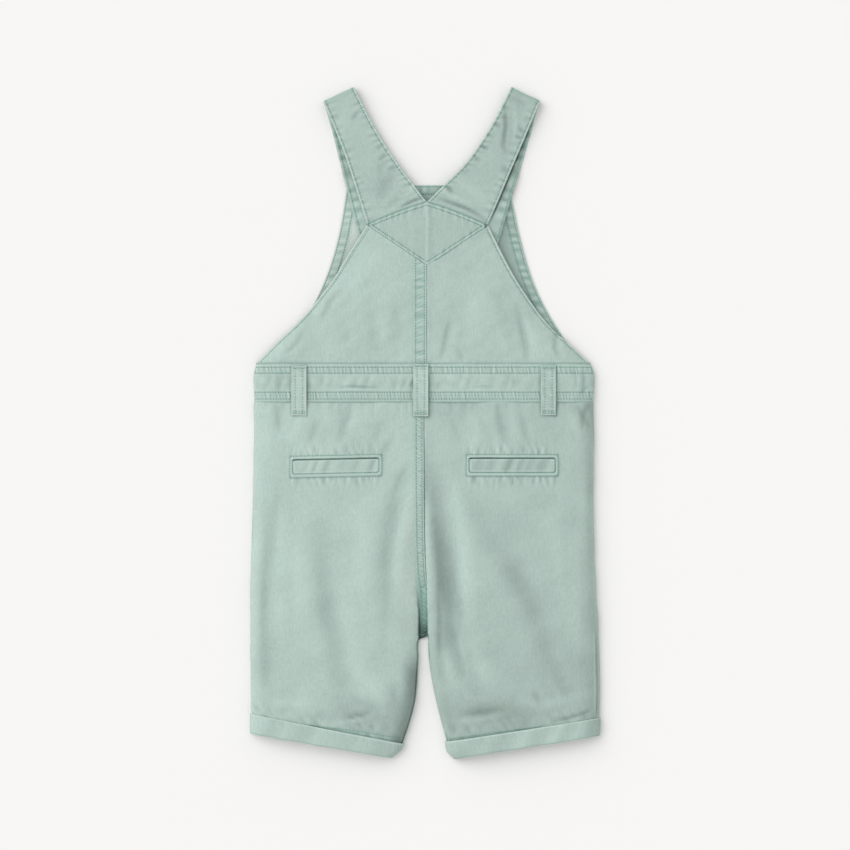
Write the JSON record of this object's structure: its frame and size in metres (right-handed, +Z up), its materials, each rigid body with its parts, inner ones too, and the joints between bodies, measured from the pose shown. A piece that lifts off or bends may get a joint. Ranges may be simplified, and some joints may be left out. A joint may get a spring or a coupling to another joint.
{
  "type": "baby dungaree shorts laid flat",
  "caption": "Baby dungaree shorts in sage cotton twill, laid flat on their front, with the yoked back and turned-up cuffs showing.",
  "frame": {"origin": "the middle of the footprint, on the surface that the garment lies on", "axes": "+X to the wearer's right, +Y from the hems to the shoulders, +Z up, out of the garment's back"},
  "size_m": [0.2812, 0.538, 0.0138],
  "materials": {
    "twill": "washed matt cotton twill in pale sage",
    "button": "matt sage"
  },
  "bodies": {
    "root": {"back_leg_left": "twill", "back_leg_right": "twill", "front_leg_left": "twill", "front_leg_right": "twill", "back_waistband": "twill", "front_waistband": "twill", "back_bib_left": "twill", "back_bib_right": "twill", "back_yoke": "twill", "front_bib": "twill", "strap_left": "twill", "strap_right": "twill", "pocket_welt_left": "twill", "pocket_welt_right": "twill", "belt_loop_left": "twill", "belt_loop_centre": "twill", "belt_loop_right": "twill", "cuff_back_left": "twill", "cuff_back_right": "twill", "cuff_front_left": "twill", "cuff_front_right": "twill", "button_left": "button", "button_right": "button"}
  },
  "joints": []
}
